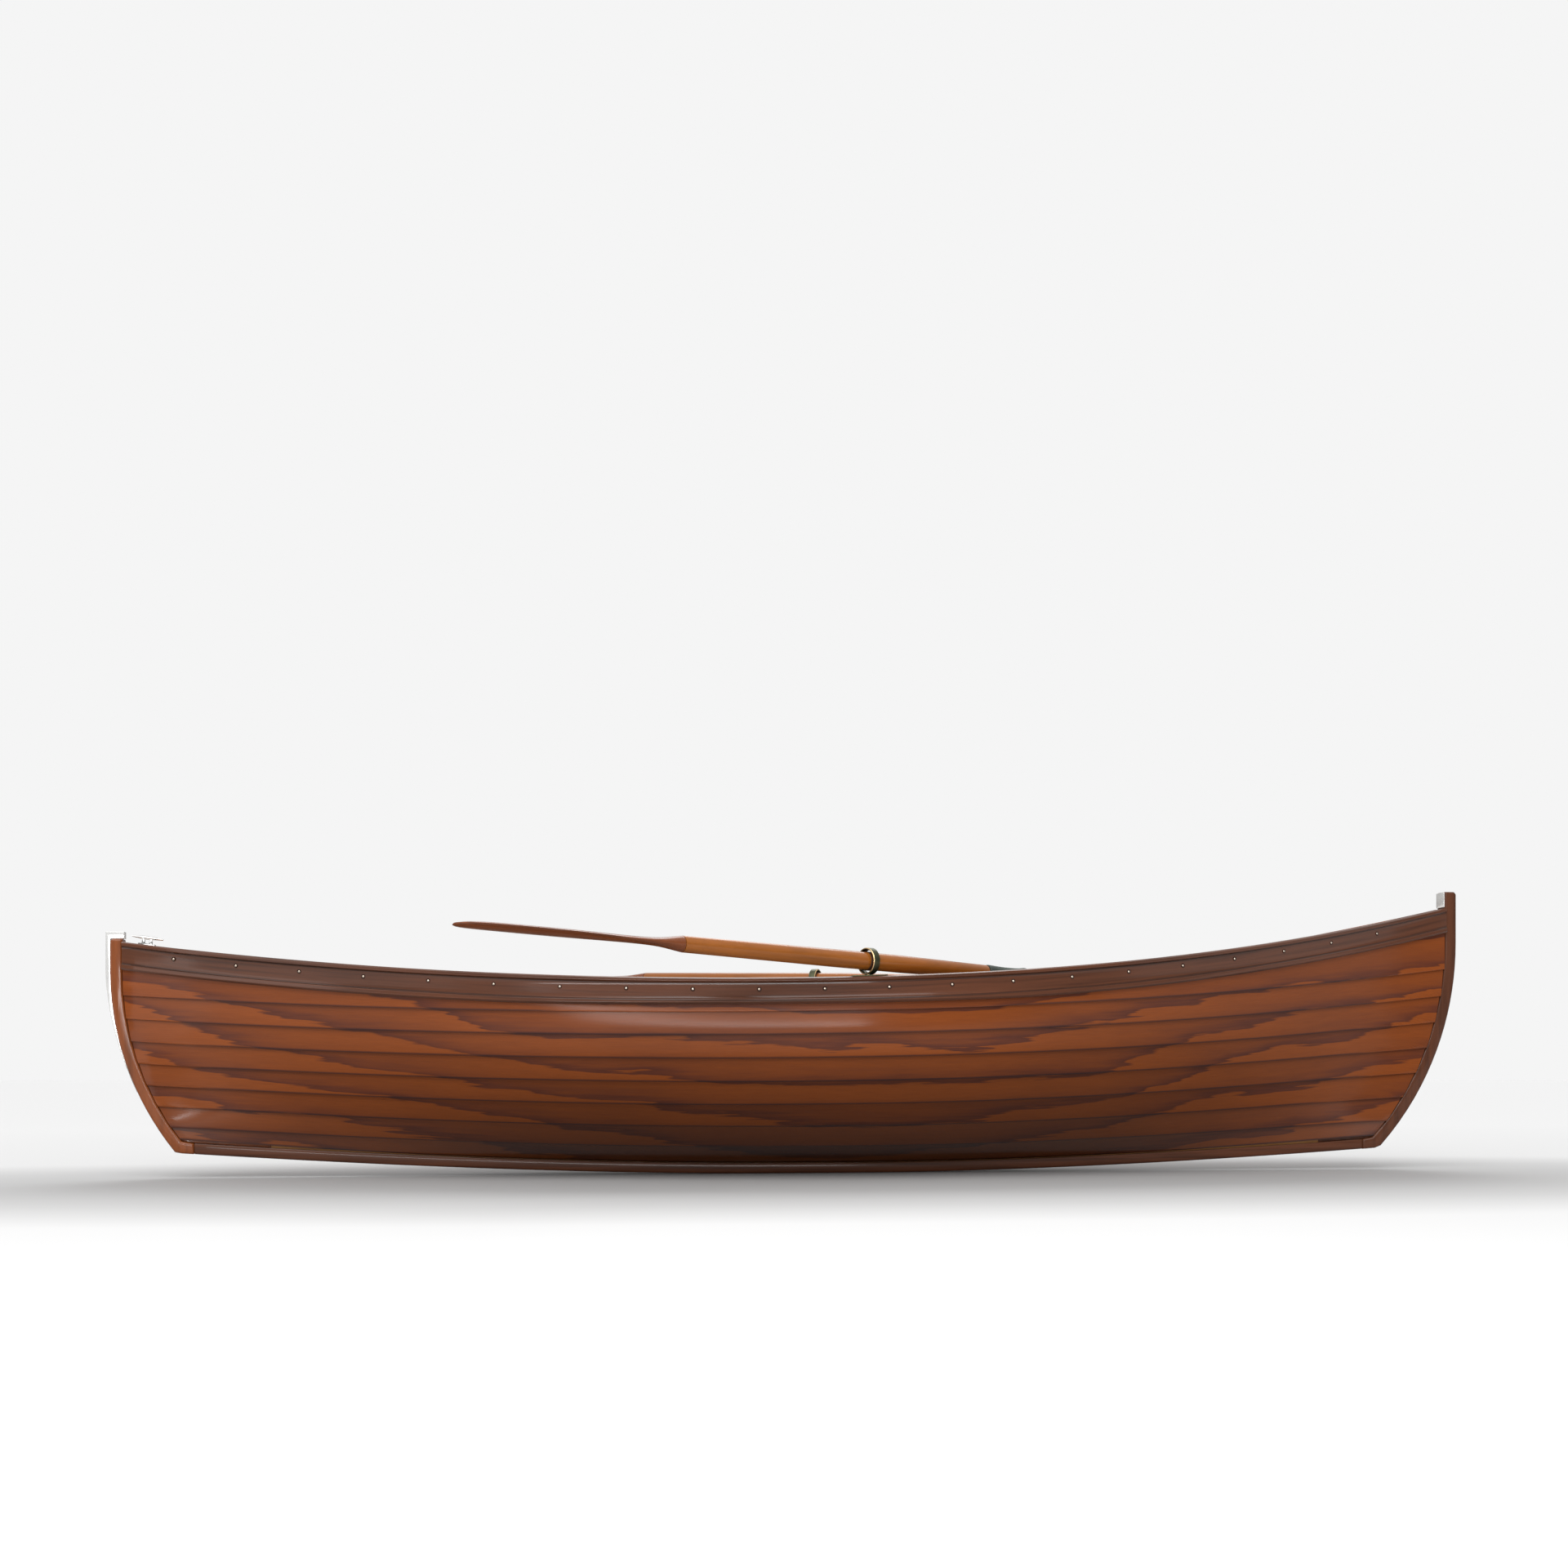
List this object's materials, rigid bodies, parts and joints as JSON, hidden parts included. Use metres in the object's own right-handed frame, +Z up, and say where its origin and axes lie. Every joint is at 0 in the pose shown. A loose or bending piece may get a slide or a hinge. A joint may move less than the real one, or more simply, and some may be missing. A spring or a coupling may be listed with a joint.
{
  "type": "rowing canoe",
  "caption": "Double-ended lapstrake wooden rowing canoe on a narrow keel, with a pair of oars that swivel, dip and feather in ring rowlocks.",
  "frame": {"origin": "on the ground under the middle of the boat, at the lowest point of the keel", "axes": "+X to the bow, +Y to port, +Z up"},
  "size_m": [4.016, 2.2198, 0.858],
  "materials": {
    "planks": "varnished mahogany, high gloss",
    "trim": "dark stained hardwood, varnished",
    "post": "varnished red hardwood, gloss",
    "interior": "oiled light hardwood, satin",
    "oar": "varnished, gloss",
    "blade": "varnished, gloss",
    "grip": "matt",
    "leather": "oiled",
    "bronze": "dark patina with a worn bright rim",
    "nickel": "polished"
  },
  "bodies": {
    "hull": {"garboard_starboard": "planks", "strake_2_starboard": "planks", "strake_3_starboard": "planks", "strake_4_starboard": "planks", "strake_5_starboard": "planks", "strake_6_starboard": "planks", "strake_7_starboard": "planks", "sheer_strake_starboard": "planks", "garboard_port": "planks", "strake_2_port": "planks", "strake_3_port": "planks", "strake_4_port": "planks", "strake_5_port": "planks", "strake_6_port": "planks", "strake_7_port": "planks", "sheer_strake_port": "planks", "outwale_starboard": "trim", "outwale_port": "trim", "keel": "trim", "stem": "trim", "sternpost": "post", "inwale_starboard": "interior", "inwale_port": "interior", "seat_riser_starboard": "interior", "seat_riser_port": "interior", "rib_1": "interior", "rib_2": "interior", "rib_3": "interior", "rib_4": "interior", "rib_5": "interior", "rib_6": "interior", "rib_7": "interior", "rib_8": "interior", "rib_9": "interior", "stern_thwart": "interior", "centre_thwart": "interior", "bow_thwart": "interior", "floorboard_centre": "interior", "floorboard_starboard": "interior", "floorboard_port": "interior", "hog": "interior", "foot_stretcher": "interior", "breasthook_bow": "interior", "breasthook_stern": "interior", "rowlock_socket_starboard": "bronze", "rowlock_socket_port": "bronze", "stern_band": "nickel", "stern_cleat": "nickel", "stem_head_plate": "nickel"},
    "rowlock_starboard": {"rowlock_starboard": "bronze"},
    "rowlock_port": {"rowlock_port": "bronze"},
    "leather_starboard": {"oar_leather_starboard": "leather"},
    "leather_port": {"oar_leather_port": "leather"},
    "oar_starboard": {"oar_loom_starboard": "oar", "oar_grip_starboard": "grip", "oar_blade_starboard": "blade"},
    "oar_port": {"oar_loom_port": "oar", "oar_grip_port": "grip", "oar_blade_port": "blade"}
  },
  "joints": [
    {"name": "rowlock_swivel_starboard", "type": "hinge", "parent": "hull", "child": "rowlock_starboard", "pos_m": [0.069, -0.4555, 0.595], "axis": [0, 0, 1], "range_deg": [0, 105]},
    {"name": "oar_dip_starboard", "type": "hinge", "parent": "rowlock_starboard", "child": "leather_starboard", "pos_m": [0.069, -0.4555, 0.595], "axis": [-0.5, 0.866, 0], "range_deg": [-16, 10]},
    {"name": "oar_feather_starboard", "type": "hinge", "parent": "leather_starboard", "child": "oar_starboard", "pos_m": [0.069, -0.4555, 0.595], "axis": [-0.8657, -0.4998, 0.0279], "range_deg": [0, 90]},
    {"name": "rowlock_swivel_port", "type": "hinge", "parent": "hull", "child": "rowlock_port", "pos_m": [0.069, 0.4555, 0.595], "axis": [0, 0, -1], "range_deg": [0, 105]},
    {"name": "oar_dip_port", "type": "hinge", "parent": "rowlock_port", "child": "leather_port", "pos_m": [0.069, 0.4555, 0.595], "axis": [0.5, 0.866, 0], "range_deg": [-16, 10]},
    {"name": "oar_feather_port", "type": "hinge", "parent": "leather_port", "child": "oar_port", "pos_m": [0.069, 0.4555, 0.595], "axis": [-0.8657, 0.4998, 0.0279], "range_deg": [0, 90]}
  ]
}
